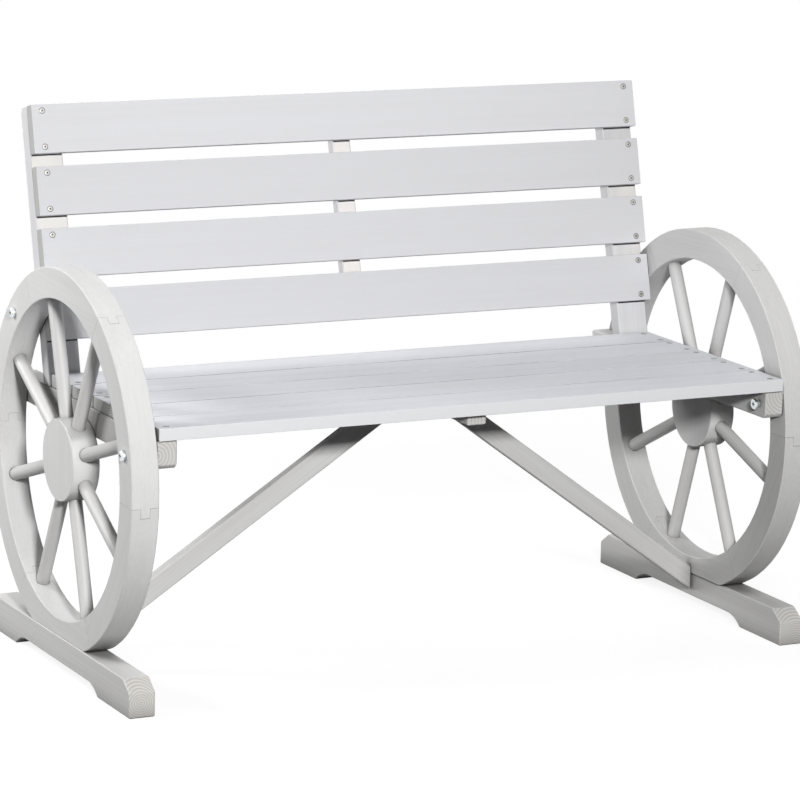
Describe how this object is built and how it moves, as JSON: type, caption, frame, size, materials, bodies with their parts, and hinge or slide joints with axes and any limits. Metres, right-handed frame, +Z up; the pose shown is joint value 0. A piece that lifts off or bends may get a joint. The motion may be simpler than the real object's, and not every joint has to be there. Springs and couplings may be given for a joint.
{
  "type": "wagon wheel bench",
  "caption": "Slatted wooden garden bench with a leaning back, carried at each end by a spoked wagon wheel fixed on an arched foot, with braces under the seat.",
  "frame": {"origin": "on the floor, midway between the two wheels and midway between the front and rear ends of the feet", "axes": "+X along the bench to the viewer's right, which is the sitter's left; +Y to the back; +Z up"},
  "size_m": [1.0996, 0.555, 0.7923],
  "materials": {
    "seat_whitewash": "thin white-grey wash on planed softwood",
    "back_whitewash": "thin white-grey wash on planed softwood",
    "wheel_whitewash": "thin white-grey wash on sanded softwood",
    "foot_whitewash": "thin white-grey wash on sawn softwood, barer on the end grain",
    "frame_whitewash": "thin white-grey wash on sawn softwood, barer on the end grain",
    "zinc_plate": "bright zinc plate"
  },
  "bodies": {
    "root": {"left_felloe_1": "wheel_whitewash", "left_felloe_2": "wheel_whitewash", "left_felloe_3": "wheel_whitewash", "left_felloe_4": "wheel_whitewash", "left_felloe_5": "wheel_whitewash", "left_felloe_6": "wheel_whitewash", "right_felloe_1": "wheel_whitewash", "right_felloe_2": "wheel_whitewash", "right_felloe_3": "wheel_whitewash", "right_felloe_4": "wheel_whitewash", "right_felloe_5": "wheel_whitewash", "right_felloe_6": "wheel_whitewash", "left_hub": "wheel_whitewash", "right_hub": "wheel_whitewash", "left_spoke_1": "wheel_whitewash", "left_spoke_2": "wheel_whitewash", "left_spoke_3": "wheel_whitewash", "left_spoke_4": "wheel_whitewash", "left_spoke_5": "wheel_whitewash", "left_spoke_6": "wheel_whitewash", "left_spoke_7": "wheel_whitewash", "left_spoke_8": "wheel_whitewash", "right_spoke_1": "wheel_whitewash", "right_spoke_2": "wheel_whitewash", "right_spoke_3": "wheel_whitewash", "right_spoke_4": "wheel_whitewash", "right_spoke_5": "wheel_whitewash", "right_spoke_6": "wheel_whitewash", "right_spoke_7": "wheel_whitewash", "right_spoke_8": "wheel_whitewash", "left_foot": "foot_whitewash", "right_foot": "foot_whitewash", "left_side_rail": "frame_whitewash", "right_side_rail": "frame_whitewash", "seat_batten": "frame_whitewash", "left_brace": "frame_whitewash", "right_brace": "frame_whitewash", "left_back_post": "back_whitewash", "right_back_post": "back_whitewash", "back_batten": "back_whitewash", "back_slat_1": "back_whitewash", "back_slat_2": "back_whitewash", "back_slat_3": "back_whitewash", "back_slat_4": "back_whitewash", "seat_slat_1": "seat_whitewash", "seat_slat_2": "seat_whitewash", "seat_slat_3": "seat_whitewash", "seat_slat_4": "seat_whitewash", "seat_slat_5": "seat_whitewash", "left_front_rail_bolt": "zinc_plate", "left_front_rail_nut": "zinc_plate", "left_rear_rail_bolt": "zinc_plate", "left_rear_rail_nut": "zinc_plate", "left_post_screw": "zinc_plate", "right_front_rail_bolt": "zinc_plate", "right_front_rail_nut": "zinc_plate", "right_rear_rail_bolt": "zinc_plate", "right_rear_rail_nut": "zinc_plate", "right_post_screw": "zinc_plate"}
  },
  "joints": []
}
